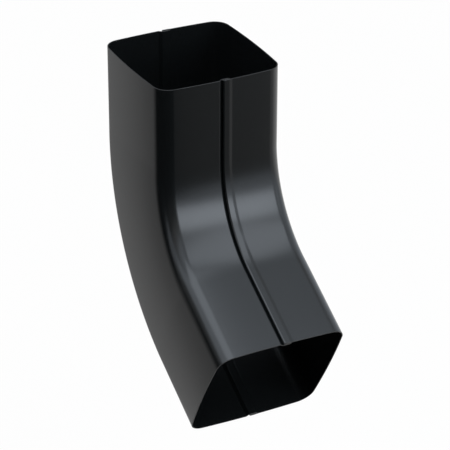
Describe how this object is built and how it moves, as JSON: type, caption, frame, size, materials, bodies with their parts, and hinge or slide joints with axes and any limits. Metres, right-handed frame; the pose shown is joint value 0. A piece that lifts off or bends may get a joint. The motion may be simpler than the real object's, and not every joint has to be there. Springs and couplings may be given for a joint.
{
  "type": "downspout elbow",
  "caption": "Square sheet-steel rainwater downspout elbow with a wide socket end, a narrow spigot end and a lock seam, painted satin black.",
  "frame": {"origin": "centre of the narrow end's opening, in the plane of its rim", "axes": "+Z along the narrow end's axis, out of that end; X across the pipe, +X on the side of the right half; the elbow turns from -Z towards -Y, so the throat faces -Y and the heel faces +Y"},
  "size_m": [0.0832, 0.1567, 0.203],
  "materials": {
    "black_paint": "satin"
  },
  "bodies": {
    "root": {"left_half": "black_paint", "right_half": "black_paint"}
  },
  "joints": []
}
